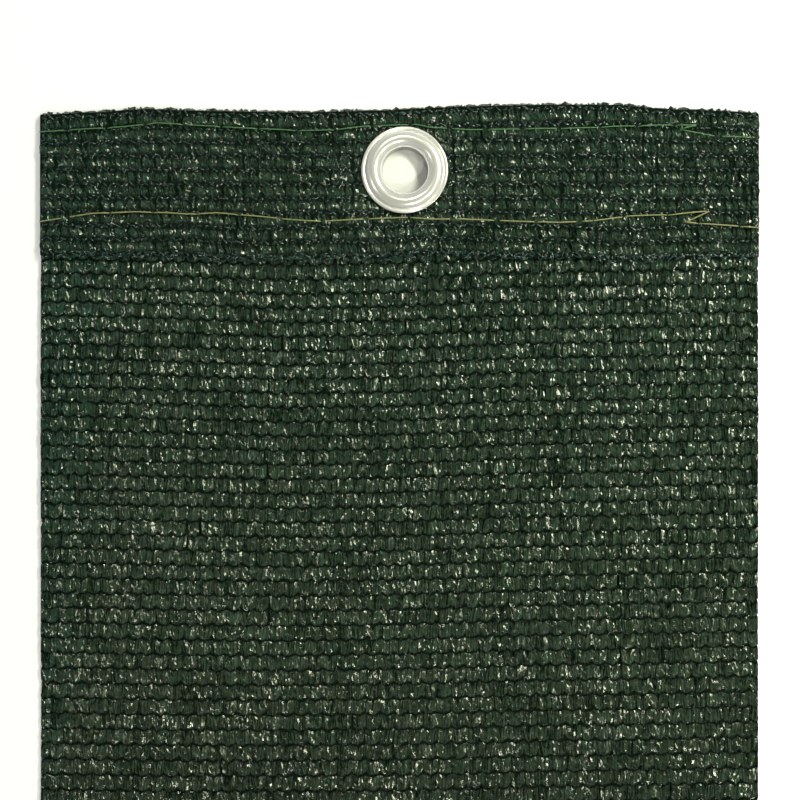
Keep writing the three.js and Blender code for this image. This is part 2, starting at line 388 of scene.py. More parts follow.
# %% Stitches of the face
LEG_PROFILE = {
    "forward": [0.60, 0.16, 0.02, 0.36, 0.95, 1.65, 2.35, 2.82, 3.10],
    "height": [0.00, 0.12, 0.50, 0.78, 0.80, 0.74, 0.70, 0.52, 0.00],
    "spread": [0.21, 0.21, 0.21, 0.22, 0.23, 0.24, 0.26, 0.27, 0.28],
    "width": [0.25, 0.29, 0.32, 0.32, 0.31, 0.30, 0.28, 0.26, 0.22],
    "vee": [0.9, 1.0, 1.0, 1.0, 0.9, 0.8, 0.8, 0.9, 0.9],
    "side": [0.40, 0.40, 0.50, 0.65, 0.70, 0.70, 0.65, 0.60, 0.50],
    "pleat": [0.1, 0.4, 0.8, 1.0, 1.0, 1.0, 1.0, 0.8, 0.2],
    "lip": [0.3, 0.9, 1.0, 0.8, 0.4, 0.1, 0.0, 0.0, 0.0],
}
LEG_JITTER = {
    "middle": 0.11,
    "side": 0.06,
    "lean": 0.15,
    "along": 0.08,
    "lip": 0.09,
    "reach": 0.06,
    "ridge": 0.075,
    "sideways_walk": 0.05,
    "height_walk": 0.03,
    "pleat_line": 0.09,
    "width": (0.94, 1.14),
    "size": (0.80, 1.10),
    "lip_size": (0.5, 1.4),
}
RIGHT_LEG_LEAD = 0.06
# Painted light: right-hand legs and strips get paler tones, as light falling from that side
PAINTED_SIDE_LIGHT = 0.12
BULGE_POWER = 2.6
BULGE_ROUNDNESS = 0.7
LEG_COLUMNS = 7
VEE_DEPTH = 0.30
VEE_REACH = 1.2
LIP_DEPTH = 0.30
PLEAT_HEIGHT = (0.00, 0.20)
# These set the painted shade in the creases and in the low places between stitches
CREASE_SHADE = (0.2, 1.0)
LEG_CRUMPLE = (0.5, 1.5)
CREST_HEIGHT = 0.75
LIT = {"leg": {"above": 0.16, "reach": 0.6}, "strip": {"above": 0.10, "reach": 0.5}}
LOWEST = -0.05


def wandering(shape, step):
    """Random walks along the middle axis, each starting near nought."""
    return np.cumsum(rng.normal(0, step, shape), axis=1)


def folded_in_pleats(patches, columns):
    """Heights of alternate pleats across a patch, and the shade painted into the creases between
    them.
    """
    first = rng.integers(0, 2, (patches, 1, 1))
    raised = (np.arange(columns) + first) % 2 == 1
    shape = (patches, 1, columns)
    heights = np.where(raised, 1, -1) * rng.uniform(*PLEAT_HEIGHT, shape)
    creases = np.where(raised, 0, 1) * rng.uniform(*CREASE_SHADE, shape)
    return heights, creases


def painted_light_share(h, kind, crease):
    """Painted shade: 1 for points near the crests, down to 0 deep between the stitches or in a
    crease.
    """
    reach = LIT[kind]["reach"] * CREST_HEIGHT
    return np.clip((h - LIT[kind]["above"]) / reach, 0, 1) * (1 - crease)


def face_row(row):
    """All legs of one row as stacked grids, with the points' painted-shade depths and the legs'
    tones.
    """
    pitch = row["columns"]
    jitter = LEG_JITTER
    middles = loop_middles(row)
    middles = np.repeat(middles + rng.normal(0, jitter["middle"], len(middles)), 2)[:, None, None]
    sides = np.tile([-1.0, 1.0], len(middles) // 2)[:, None, None]
    profile = {key: np.array(values)[None, :, None] for key, values in LEG_PROFILE.items()}
    steps = len(LEG_PROFILE["height"])
    shape = (len(middles), steps, LEG_COLUMNS)
    each = (len(middles), 1, 1)
    pleats = (len(middles), 1, LEG_COLUMNS)
    crumple = rng.uniform(*LEG_CRUMPLE, each)
    line = jitter["pleat_line"]
    across = np.linspace(-1, 1, LEG_COLUMNS) + rng.uniform(-line, line, pleats)
    bulge = np.clip(1 - np.abs(across) ** BULGE_POWER, 0, 1) ** BULGE_ROUNDNESS
    pleat, crease = folded_in_pleats(len(middles), LEG_COLUMNS)
    half = profile["width"] * pitch * rng.uniform(*jitter["width"], each)
    lean = rng.normal(0, jitter["lean"], each) * np.linspace(-1, 1, steps)[None, :, None]
    from_middle = sides * profile["spread"] * pitch + across * half + lean
    from_middle = from_middle + rng.normal(0, jitter["side"], each)
    x = middles + from_middle + wandering(shape, jitter["sideways_walk"]) * bulge * crumple
    vee = VEE_DEPTH * (1 - 2 * np.clip(np.abs(from_middle) / (pitch / 2), 0, VEE_REACH))
    lip = LIP_DEPTH * (bulge - 0.5) * rng.uniform(*jitter["lip_size"], each)
    lip = lip + rng.normal(0, jitter["lip"], pleats) + rng.normal(0, jitter["reach"], each)
    forward = profile["forward"] * row["pitch"] / PITCH_UNIT
    forward = forward - profile["lip"] * lip - profile["vee"] * vee
    s = row["s"] + forward + rng.normal(0, jitter["along"], shape) * crumple * profile["pleat"]
    size = rng.uniform(*jitter["size"], each) + RIGHT_LEG_LEAD * sides
    h = profile["height"] * size * (profile["side"] + (1 - profile["side"]) * bulge)
    ridge = pleat + wandering(shape, jitter["height_walk"]) + rng.normal(0, jitter["ridge"], shape)
    h = np.maximum(h + profile["pleat"] * crumple * ridge, LOWEST)
    # painted light: right-hand legs get paler tones
    tones = np.clip(rng.uniform(0, 1, len(middles)) + PAINTED_SIDE_LIGHT * sides.ravel(), 0, 1)
    return place(x, s, h), painted_light_share(h, "leg", crease), tones


# %% The face's rows
UNDER_HEM = 4.0
FACE_GROUPS = 4
hem_cover = CLOTH_LENGTH - HEM_FRONT_LENGTH + UNDER_HEM
face_rows = [row for row in rows if row["s"] < hem_cover]
face_pieces = []
for group in range(FACE_GROUPS):
    pile = PatchPile()
    for row in face_rows[group::FACE_GROUPS]:
        pile.add(*face_row(row), flip=True)
    face_pieces.append(pile.make("face_legs_%d" % (group + 1)))

# %% [markdown]
# ## The reverse: upright strips between chains
# Seen from the reverse, a row is a chain of tight slanted stitches, and between two chains each
# loop shows two upright strips of tape. A strip is narrow where the chain crosses it, so dark holes
# stay open beside the stitches, and it widens like a fan before the next chain. The hem's front and
# the whole back of the screen show this side. The hem is seen from close by and gets finer patches.

# %% Strips of tape on the reverse
STRIP_PROFILE = {
    "forward": [-0.55, 0.05, 0.50, 0.90, 1.40, 1.90, 2.40, 2.80, 3.25],
    "height": [-0.05, 0.00, 0.16, 0.46, 0.62, 0.64, 0.56, 0.22, -0.05],
    "width": [0.45, 0.50, 0.64, 0.88, 1.06, 1.18, 1.25, 1.05, 0.55],
    "slide": [0.0, -0.1, -0.25, -0.25, -0.15, 0.0, 0.0, -0.1, -0.1],
    "crumple": [0.1, 0.2, 0.6, 1.0, 1.0, 1.0, 1.0, 0.7, 0.1],
}
FINE_STRIP = {"steps": range(9), "columns": 8}
COARSE_STRIP = {"steps": (0, 2, 3, 6, 8), "columns": 4}
STRIP_LEAD = 0.14
STRIP_WIDTH_LEAD = 0.15
STRIP_CROWN = 0.55
STRIP_JITTER = {
    "middle": 0.16,
    "lean": 0.22,
    "start": 0.09,
    "along": 0.08,
    "ridge": 0.08,
    "sideways_walk": 0.06,
    "pleat_line": 0.12,
    "width": (0.75, 1.25),
    "size": (0.68, 1.10),
}


def strip_row(row, kind):
    """The upright strips of one row, the painted-shade depth of each point and a tone for each strip.
    """
    jitter = STRIP_JITTER
    middles, sides = leg_middles(row)
    sides = sides[:, None, None]
    steps = list(kind["steps"])
    profile = {key: np.array(values)[steps][None, :, None] for key, values in STRIP_PROFILE.items()}
    shape = (len(middles), len(steps), kind["columns"])
    each = (len(middles), 1, 1)
    pleats = (len(middles), 1, kind["columns"])
    crumple = rng.uniform(*LEG_CRUMPLE, each) * profile["crumple"]
    line = jitter["pleat_line"]
    across = np.linspace(-1, 1, kind["columns"]) + rng.uniform(-line, line, pleats)
    pleat, crease = folded_in_pleats(len(middles), kind["columns"])
    crown = 1 - STRIP_CROWN + STRIP_CROWN * np.clip(1 - np.abs(across) ** BULGE_POWER, 0, 1)
    share = (1 + STRIP_WIDTH_LEAD * sides) * rng.uniform(*jitter["width"], each)
    half = row["columns"] / 4 * profile["width"] * share
    lean = rng.normal(0, jitter["lean"], each) * np.linspace(-1, 1, len(steps))[None, :, None]
    x = middles[:, None, None] + rng.normal(0, jitter["middle"], each)
    x = x + profile["slide"] + across * half
    x = x + lean + wandering(shape, jitter["sideways_walk"]) * crumple
    forward = profile["forward"] * row["pitch"] / PITCH_UNIT
    s = row["s"] + forward + rng.normal(0, jitter["start"], each)
    s = s + rng.normal(0, jitter["along"], shape) * crumple
    size = rng.uniform(*jitter["size"], each) + STRIP_LEAD * sides
    ridge = pleat + rng.normal(0, jitter["ridge"], shape)
    h = np.maximum(profile["height"] * size * crown + ridge * crumple, LOWEST)
    # painted light: right-hand strips get paler tones
    tones = np.clip(rng.uniform(0, 1, len(middles)) + PAINTED_SIDE_LIGHT * sides.ravel(), 0, 1)
    return place(x, s, -h), painted_light_share(h, "strip", crease), tones


# %% [markdown]
# ### The chains
# A chain is a line of small tight stitches: in each loop one slanted stitch, one flat link to the
# next loop, and now and then a stray end that leans the other way. Beside the broad strips they are
# thin and round, so each one is a slim spindle of tape instead of a pleated patch. A curve with a
# bevel could draw them too, but it would give all of them the same even thickness.

# %% Chains of stitches on the reverse
SLANTED = {"side": 1.0, "half_length": 0.75, "lean": 0.38, "half_width": 0.27, "height": 0.50}
LINK = {"side": -1.0, "half_length": 0.62, "lean": 0.06, "half_width": 0.17, "height": 0.30}
STRAY = {"side": -1.0, "half_length": 0.50, "lean": -0.32, "half_width": 0.16, "height": 0.42}
FINE_STITCH = {
    "around": 7,
    "lengths": (-1.0, -0.65, 0.0, 0.65, 1.0),
    "stitches": (SLANTED, LINK, STRAY),
}
COARSE_STITCH = {
    "around": 5,
    "lengths": (-1.0, 0.0, 1.0),
    "stitches": (SLANTED, LINK),
}
CHAIN_JITTER = {
    "middle": 0.20,
    "line": 0.13,
    "lean": 0.18,
    "length": (0.65, 1.20),
    "width": (0.65, 1.25),
    "height": (-0.22, 0.08),
}
SPINDLE = {"blunt_end": 0.02, "taper": 2.5, "arch": 0.07, "flatness": 0.65}
# Painted shade: the chains' depth mark sits a little below 1, so their colour is painted a little
# darker
CHAIN_LIT_SHARE = 0.9


def spindles(x, s, half_length, half_width, lean, height, kind):
    """Slim flattened stitches that taper to both ends, as patches by rows by columns by 3."""
    line = np.array(kind["lengths"])[None, :, None]
    angle = np.linspace(0, 2 * math.pi, kind["around"])[None, None, :]
    ring = (1 + SPINDLE["blunt_end"] - np.abs(line) ** SPINDLE["taper"]) * half_width
    x = x + half_length * line + 0 * angle
    s = s + line * lean + ring * np.cos(angle)
    h = height + SPINDLE["arch"] * (1 - line**2) + ring * np.sin(angle) * SPINDLE["flatness"]
    return place(x, s, -h)


def chain_row(row, kind):
    """Slanted stitches and flatter links along the row's line."""
    jitter = CHAIN_JITTER
    middles, sides = leg_middles(row)
    patches = []
    for stitch in kind["stitches"]:
        x = middles[sides == stitch["side"]]
        each = (len(x), 1, 1)
        x = x[:, None, None] + rng.normal(0, jitter["middle"], each)
        s = row["s"] + rng.normal(0, jitter["line"], each)
        half_length = stitch["half_length"] * rng.uniform(*jitter["length"], each)
        half_width = stitch["half_width"] * rng.uniform(*jitter["width"], each)
        lean = stitch["lean"] + rng.normal(0, jitter["lean"], each)
        height = stitch["height"] + rng.uniform(*jitter["height"], each)
        patches.append(spindles(x, s, half_length, half_width, lean, height, kind))
    return np.concatenate(patches), CHAIN_LIT_SHARE


# %% The reverse's rows on the hem and on the back
BEFORE_FOLD = 1.0
hem_rows = [row for row in rows if row["s"] > fold_start - BEFORE_FOLD]
back_rows = [row for row in rows if row["s"] <= fold_start - BEFORE_FOLD]
hem_strips = PatchPile()
hem_chains = PatchPile()
for row in hem_rows:
    hem_chains.add(*chain_row(row, FINE_STITCH))
    if row is not rows[-1]:
        hem_strips.add(*strip_row(row, FINE_STRIP))
back_strips = PatchPile()
back_chains = PatchPile()
for row in back_rows:
    back_strips.add(*strip_row(row, COARSE_STRIP))
    back_chains.add(*chain_row(row, COARSE_STITCH))
reverse_pieces = [
    hem_strips.make("hem_strips"),
    hem_chains.make("hem_chains", smooth=True),
    back_strips.make("back_strips"),
    back_chains.make("back_chains", smooth=True),
]

# %% [markdown]
# ## The hem's cut edge
# Along the hem's cut edge the last chain opens up: its stitches turn in all directions like small
# leaves, and here and there a loop of tape hangs out over the body. The leaves are spindles again,
# and a loop is a thin tube along half a turn of an ellipse. Both are scattered with a fixed seed.


# %% Leaves and loops along the edge
def tube(path, radius, sides=8):
    """A tube round a path of points, as one grid of points."""
    along = np.gradient(path, axis=0)
    along /= np.linalg.norm(along, axis=1, keepdims=True)
    flat_side = np.cross(along, [0, 0, 1.0])
    flat_side /= np.maximum(np.linalg.norm(flat_side, axis=1, keepdims=True), 1e-6)
    upper = np.cross(flat_side, along)
    angle = np.linspace(0, 2 * math.pi, sides + 1)[None, :, None]
    round_it = np.cos(angle) * flat_side[:, None, :] + np.sin(angle) * upper[:, None, :]
    return path[:, None, :] + radius * round_it


LEAF = {
    "count": 260,
    "past_edge": (-1.3, 0.5),
    "half_length": (0.5, 1.1),
    "half_width": (0.14, 0.30),
    "lean": 0.35,
    "height": (-0.1, 0.55),
}
LOOP = {
    "count": 70,
    "inside_edge": (0.3, 1.2),
    "width": (0.7, 1.8),
    "reach": (0.4, 1.3),
    "height": (0.0, 0.5),
    "scatter": 0.6,
    "arch": 0.12,
    "radius": 0.12,
    "steps": 8,
    "sides": 5,
}
EDGE_INSET = 1.1
# Painted shade: the edge's leaves and loops get a depth mark a little below 1
EDGE_LIT_SHARE = 0.85


def loop(x, s, width, reach, height):
    """An arch of tape that leaves the cloth at s and comes back beside it."""
    turn = np.linspace(0, math.pi, LOOP["steps"])
    across = x - width / 2 * np.cos(turn)
    path = place(across, s + reach * np.sin(turn), -height - LOOP["arch"] * np.sin(turn))
    return tube(path, LOOP["radius"], sides=LOOP["sides"])


inner_half = half_width - EDGE_INSET
each = (LEAF["count"], 1, 1)
leaves = spindles(
    rng.uniform(-inner_half, inner_half, each),
    strip_length + rng.uniform(*LEAF["past_edge"], each),
    rng.uniform(*LEAF["half_length"], each),
    rng.uniform(*LEAF["half_width"], each),
    rng.normal(0, LEAF["lean"], each),
    rng.uniform(*LEAF["height"], each),
    FINE_STITCH,
)
edge_loops = []
for x in np.linspace(-inner_half, inner_half, LOOP["count"]):
    start = strip_length - rng.uniform(*LOOP["inside_edge"])
    width = rng.uniform(*LOOP["width"])
    reach = rng.uniform(*LOOP["reach"])
    height = rng.uniform(*LOOP["height"])
    middle = np.clip(x + rng.normal(0, LOOP["scatter"]), -inner_half, inner_half)
    edge_loops.append(loop(middle, start, width, reach, height))
loop_pile = PatchPile()
loop_pile.add(leaves, EDGE_LIT_SHARE)
loop_pile.add(np.stack(edge_loops), EDGE_LIT_SHARE)
loose_loops = loop_pile.make("loose_loops", smooth=True)

# %% [markdown]
# ## The ground sheet
# Behind the loops lies the dense middle of the cloth. It is one thin sheet that runs the whole way
# from the cut end round the fold to the hem's edge, with the eyelet's hole left open in both
# layers. It keeps light from leaking through the knit. A plain grid would do, but stations that
# crowd together near the eyelet keep its hole round.


# %% Ground sheet
GROUND_STEP = {"coarse": 3.0, "fine": 1.25, "fine_within": 10.0}
FOLD_STATIONS = 7


def ground_stations(low, high, centres):
    """Stations from low to high in coarse steps, with fine ones round the centres."""
    found = [low]
    while found[-1] < high - 1e-6:
        near = any(abs(found[-1] - centre) < GROUND_STEP["fine_within"] for centre in centres)
        found.append(min(high, found[-1] + GROUND_STEP["fine" if near else "coarse"]))
    return np.array(found)


eyelet_back_s = CLOTH_LENGTH + eyelet_local_y
eyelet_front_s = fold_end - FOLD_RADIUS - eyelet_local_y
ground_x = ground_stations(-half_width, half_width, [eyelet_x])
ground_s = ground_stations(0.0, strip_length, [eyelet_back_s, eyelet_front_s])
fold_s = np.linspace(fold_start, fold_end, FOLD_STATIONS)
flat_s = ground_s[(ground_s < fold_start) | (ground_s > fold_end)]
ground_s = np.unique(np.concatenate([flat_s, fold_s]))
sheet_x, sheet_s = np.meshgrid(ground_x, ground_s, indexing="ij")
sheet_points = place(sheet_x, sheet_s, 0.0).reshape(-1, 3)
sheet_quads = grid_quads(len(ground_x), len(ground_s))
quad_middle = sheet_points[sheet_quads].mean(1)
hole = np.hypot(quad_middle[:, 0] - eyelet_x, quad_middle[:, 1] - eyelet_y) < CLEAR_RADIUS
ground = add_mesh("ground_sheet", sheet_points, sheet_quads[~hole], smooth=True)
print("ground sheet has", 2 * int((~hole).sum()), "triangles")

# %% [markdown]
# ## The sewing threads
# The hem is sewn down with two rows of single thread. Each stitch lies on the cloth for its length
# and then dives through a needle hole, so a stitch is its own short tube whose ends bend down into
# the knit. At the cut edges the thread is cut too and runs straight out. At the right both rows
# double back to lock the seam. A curve with a bevel would do as well, but tubes from arrays let
# both rows share one function. The two tables give each seam's way from left to right.


# %% Thread stitches
def hem_top(x, y):
    """Height of the hem's upper face, y counted from the fold line."""
    thick = thickness_at(x, y)
    return lift_at(x, y) + 2 * thick + LAYER_GAP


UPPER_SEAM = {
    "x": [-83.1, -75, -63, -56, -46, -23, -13, -7, 4, 7]
    + [16, 23, 37, 50, 59, 68.6, 64.6, 72.3, 83.1],
    "y": [-6, -5.6, -4.9, -4, -4.6, -5.8, -5.5, -4.8, -4.4, -5.1]
    + [-5.5, -5.5, -5.3, -4.9, -4.6, -4.4, -5.5, -7.0, -7.5],
}
LOWER_SEAM = {
    "x": [-83.1, -71, -61, -49, -42, -36, -26, -18, -8, 3]
    + [17, 27, 37, 45, 53, 63, 71.8, 66, 73.5, 83.1],
    "y": [-26.8, -25, -24.4, -25.1, -24.8, -25.3, -26.2, -26.7, -26.2, -25.8]
    + [-26.3, -26.7, -27, -26.6, -25.5, -25.2, -24.3, -27.0, -27.4, -28.2],
}
UPPER_STITCH = {"length": 8.7, "radius": 0.125, "gap": 0.6}
LOWER_STITCH = {"length": 9.8, "radius": 0.14, "gap": 0.15}
CUT_OFF_SHARE = (0.1, 0.6)
SHORTEST_STITCH = 1.0
THREAD_STEPS = 14
THREAD_SEAT = 0.6
DIVE = {"depth": 0.75, "power": 10}
SEAM_JITTER = {"length": (0.94, 1.06), "rise": 0.08, "sway": 0.07}


def seam_stitches(seam, stitch):
    """Walks along the seam and lays one tube for each stitch."""
    radius = stitch["radius"]
    line = np.stack([seam["x"], seam["y"]], axis=1)
    travelled = np.concatenate([[0], np.cumsum(np.linalg.norm(np.diff(line, axis=0), axis=1))])
    grids = []
    start = -rng.uniform(*CUT_OFF_SHARE) * stitch["length"]
    while start < travelled[-1]:
        length = stitch["length"] * rng.uniform(*SEAM_JITTER["length"])
        end = start + length - stitch["gap"]
        along = np.linspace(max(start, 0), min(end, travelled[-1]), THREAD_STEPS)
        if along[-1] - along[0] > SHORTEST_STITCH:
            x = np.interp(along, travelled, line[:, 0])
            y = np.interp(along, travelled, line[:, 1])
            share = 2 * (along - start) / (end - start) - 1
            rise = radius * THREAD_SEAT + SEAM_JITTER["rise"] * rng.uniform(0, 1)
            rise = rise - DIVE["depth"] * np.abs(share) ** DIVE["power"]
            sway = rng.normal(0, SEAM_JITTER["sway"]) * (1 - share**2)
            path = np.stack([x, y + sway, hem_top(x, y) + rise], axis=1)
            path[:, 1] += fold_line_y
            grids.append(tube(path, radius))
        start += length
    return np.stack(grids)


upper_pile = PatchPile()
upper_pile.add(seam_stitches(UPPER_SEAM, UPPER_STITCH), 1.0)
lower_pile = PatchPile()
lower_pile.add(seam_stitches(LOWER_SEAM, LOWER_STITCH), 1.0)
upper_thread = upper_pile.make("upper_thread", smooth=True)
lower_thread = lower_pile.make("lower_thread", smooth=True)

# %% [markdown]
# ## The eyelet and its washer
# The eyelet is a stamped ring: a rolled lip, a fine groove, a smooth dome that turns down into the
# barrel, and a curl at the back over the washer. It is a turned shape, so one profile swept round
# the axis makes it, here with a rounder profile and many more steps than the plain solid it stands
# for.

# %% Eyelet and washer
TURN_STEPS = 128
# Painted shade in the bore: the eyelet darkens below the first height in mm, fading over the second
BORE_SHADE_BELOW = 2.9
BORE_SHADE_FADE = 0.7
METAL = 0.5
CREST = 7.25
DOME = {"half_width": 1.76, "foot": 0.42, "height": 1.7, "hollow": 1.4}
BORE = {"top": 5.36, "base": 5.16, "bend": 0.5, "foot": 0.8}
LIP = {"inside": 9.2, "radius": 9.72, "roll": 0.28}
GROOVE = {"radius": [9.50, 9.22, 9.08, 8.98], "height": [0.57, 0.50, 0.36, 0.46]}
CURL = {"radius": 6.9, "roll": 0.3}
CURL_INSIDE = {"radius": [6.1, 5.86, 5.8], "height": [0.6, 0.7, 0.9]}
WASHER_RIM = {"radius": 9.62, "roll": 0.2}
WASHER_TOP = {"radius": [8.25, 8.1, 7.78, 7.6, 6.2, 6.2], "height": [0.5, 0.6, 1.3, 1.4, 1.4, 0.9]}
WASHER_UNDER = {"radius": [7.3, 7.42, 7.75, 7.9], "height": [0.9, 0.8, 0.12, 0.0]}
SEAT_CLEARANCE = 0.3
WELD_DISTANCE = 0.00001
SWEEPS = {
    "lip": {"start": -80, "end": 80, "points": 8},
    "dome": {"start": 15, "end": 90, "points": 16},
    "throat": {"start": 94, "end": 180, "points": 18},
    "foot": {"start": 180, "end": 270, "points": 8},
    "curl": {"start": -90, "end": 90, "points": 8},
    "hollow": {"start": 170, "end": 10, "points": 14},
    "rim_under": {"start": -90, "end": 0, "points": 5},
    "rim_top": {"start": 0, "end": 90, "points": 5},
}
eyelet_seat = PRESSED_LIFT + 2 * PRESSED_THICKNESS + LAYER_GAP + SEAT_CLEARANCE


def turned(name, profile):
    """A ring turned about the eyelet's axis from a closed profile of radius and height."""
    profile = np.array(profile + profile[:1])
    angle = np.linspace(0, 2 * math.pi, TURN_STEPS + 1)[:, None]
    x = eyelet_x + profile[:, 0] * np.cos(angle)
    y = eyelet_y + profile[:, 0] * np.sin(angle)
    z = profile[:, 1] + 0 * angle
    grid = np.stack([x, y, z], axis=-1).reshape(-1, 3)
    # painted shade: 1 above the bore, down to 0 deep in it
    out_of_bore_shade = ease((grid[:, 2] - BORE_SHADE_BELOW) / BORE_SHADE_FADE)
    quads = grid_quads(len(angle), len(profile))
    ring = add_mesh(name, grid, quads, {"depth": out_of_bore_shade}, smooth=True)
    joined = ring.modifiers.new("joined", "WELD")
    joined.merge_threshold = WELD_DISTANCE
    return ring


def arc(centre, radii, sweep):
    """Points of an elliptic arc, its sweep in degrees from the outward direction."""
    angles = np.radians(np.linspace(sweep["start"], sweep["end"], sweep["points"]))
    return [[centre[0] + radii[0] * math.cos(a), centre[1] + radii[1] * math.sin(a)] for a in angles]


def listed(table, lift=0.0):
    """The points of a table of radii and heights."""
    return [[radius, height + lift] for radius, height in zip(table["radius"], table["height"])]


# %% Profiles of the eyelet and the washer
outer_foot = (CREST, eyelet_seat + DOME["foot"])
inner_foot = (CREST, eyelet_seat - BORE["bend"] * METAL)
lip_middle = (LIP["radius"], eyelet_seat + LIP["roll"])
foot_middle = (BORE["base"] + BORE["bend"], BORE["bend"])
curl_middle = (CURL["radius"], CURL["roll"])
dome_radii = (DOME["half_width"], DOME["height"] - DOME["foot"])
throat_radii = (CREST - BORE["top"], DOME["height"] + BORE["bend"] * METAL)
hollow_radii = (DOME["hollow"], DOME["height"] - METAL)
eyelet_profile = (
    [[LIP["inside"], eyelet_seat], [LIP["radius"], eyelet_seat]]
    + arc(lip_middle, (LIP["roll"], LIP["roll"]), SWEEPS["lip"])
    + listed(GROOVE, eyelet_seat)
    + arc(outer_foot, dome_radii, SWEEPS["dome"])
    + arc(inner_foot, throat_radii, SWEEPS["throat"])
    + [[BORE["base"], BORE["foot"]]]
    + arc(foot_middle, (BORE["bend"], BORE["bend"]), SWEEPS["foot"])
    + arc(curl_middle, (CURL["roll"], CURL["roll"]), SWEEPS["curl"])
    + listed(CURL_INSIDE)
    + [[CURL_INSIDE["radius"][-1], eyelet_seat]]
    + arc((CREST, eyelet_seat), hollow_radii, SWEEPS["hollow"])
)
rim_roll = (WASHER_RIM["roll"], WASHER_RIM["roll"])
washer_profile = (
    arc((WASHER_RIM["radius"], WASHER_RIM["roll"]), rim_roll, SWEEPS["rim_under"])
    + arc((WASHER_RIM["radius"], METAL - WASHER_RIM["roll"]), rim_roll, SWEEPS["rim_top"])
    + listed(WASHER_TOP)
    + listed(WASHER_UNDER)
)
eyelet_ring = turned("eyelet_ring", eyelet_profile)
washer_ring = turned("washer_ring", washer_profile)
print("eyelet profile:", len(eyelet_profile), "points, washer profile:", len(washer_profile))

# %% [markdown]
# ## Finishes
# Every finish is a small network of nodes. Two helpers keep the networks short: one makes a node
# and sets its sockets by name, and the other makes a ramp of colours from a table, whose keys are
# places on the ramp from 0 to 1.


# %% Helpers for nodes
def new_node(tree, kind, **inputs):
    """A node with some of its input sockets set by name."""
    node = tree.nodes.new(kind)
    for socket, value in inputs.items():
        node.inputs[socket].default_value = value
    return node


def colour_ramp(tree, stops, brightness=1.0):
    """A ramp through the colours of a table that maps positions to colours."""
    ramp = new_node(tree, "ShaderNodeValToRGB")
    elements = ramp.color_ramp.elements
    while len(elements) < len(stops):
        elements.new(0.5)
    for element, (position, colour) in zip(elements, stops.items()):
        element.position = position
        element.color = (*[c * brightness for c in colour], 1)
    return ramp


# %% [markdown]
# ### The greens of the tape
# The tape is one dark green, and its tone differs at random from loop to loop. Right-hand legs and
# strips are painted a little paler, as light falling from that side, and folds and the gaps between
# stitches are painted nearly black, as shade. The cloth is darker near the cut end and cooler towards
# the turned end, and a band along its left edge gets a painted cool sheen. The first two tables give
# the tones of single stitches, the third tints the whole cloth from the cut end to the fold, and the
# fourth paints the sheen inside a band at the side. A painted picture could hold all that too, but a
# few stops on a ramp stay sharp from close by and can be changed in a second.

# %% Tones and tints
# Painted shade: the darkest share of the tape's colour, deep in creases and between stitches
CREVICE_SHADE = 0.22
SCREEN_TONES = {
    0.28: (0.005, 0.014, 0.008),
    0.45: (0.012, 0.034, 0.019),
    0.58: (0.025, 0.040, 0.021),
    0.72: (0.027, 0.060, 0.036),
}
CHAIN_TONES = {
    0.30: (0.005, 0.017, 0.012),
    0.50: (0.010, 0.036, 0.027),
    0.72: (0.025, 0.065, 0.050),
}
LENGTH_TINTS = {
    0.12: (0.84, 0.75, 0.85),
    0.27: (1.00, 0.89, 1.01),
    1.00: (0.80, 0.94, 1.08),
}
# Painted sheen: a cooler, bluer green inside a band along the left edge
PAINTED_SHEEN_TINTS = {0.0: (1.0, 1.0, 1.0), 1.0: (0.76, 0.98, 1.0)}
SHEEN_BAND = {"at_end": -81.0, "at_fold": -65.0, "blur": 9.0}


def place_tint(tree, where):
    """A tint that is darker near the cut end and cooler towards the fold, with a painted cool sheen
    in a band at the left edge.
    """
    link = tree.links.new
    split = new_node(tree, "ShaderNodeSeparateXYZ")
    upward = new_node(tree, "ShaderNodeMapRange")
    upward.inputs["From Min"].default_value = (fold_line_y - CLOTH_LENGTH) * MM
    upward.inputs["From Max"].default_value = fold_line_y * MM
    border = new_node(tree, "ShaderNodeMapRange")
    border.inputs["To Min"].default_value = SHEEN_BAND["at_end"] * MM
    border.inputs["To Max"].default_value = SHEEN_BAND["at_fold"] * MM
    beyond = new_node(tree, "ShaderNodeMath")
    beyond.operation = "SUBTRACT"
    in_sheen_band = new_node(tree, "ShaderNodeMapRange")
    in_sheen_band.interpolation_type = "SMOOTHSTEP"
    in_sheen_band.inputs["From Min"].default_value = -SHEEN_BAND["blur"] / 2 * MM
    in_sheen_band.inputs["From Max"].default_value = SHEEN_BAND["blur"] / 2 * MM
    along = colour_ramp(tree, LENGTH_TINTS)
    # the painted cool sheen of the left-edge band
    sideways = colour_ramp(tree, PAINTED_SHEEN_TINTS)
    both = new_node(tree, "ShaderNodeVectorMath")
    both.operation = "MULTIPLY"
    link(where.outputs["Object"], split.inputs["Vector"])
    link(split.outputs["Y"], upward.inputs["Value"])
    link(upward.outputs["Result"], border.inputs["Value"])
    link(border.outputs["Result"], beyond.inputs[0])
    link(split.outputs["X"], beyond.inputs[1])
    link(beyond.outputs["Value"], in_sheen_band.inputs["Value"])
    link(upward.outputs["Result"], along.inputs["Fac"])
    link(in_sheen_band.outputs["Result"], sideways.inputs["Fac"])
    link(along.outputs["Color"], both.inputs[0])
    link(sideways.outputs["Color"], both.inputs[1])
    return both


# %% [markdown]
# ### The film
# The tape is polyethylene film, dark green and a little glossy, so its flats are dull green and its
# creases give small pale glints. The attribute `tone` shifts the green from stitch to stitch, with
# painted light on the right-hand legs, the attribute `depth` paints shade into what lies deep in
# creases and between stitches, and a fine stretched noise bump adds the wrinkles that are too small
# to model. A plain green with gloss would look like wet paint.

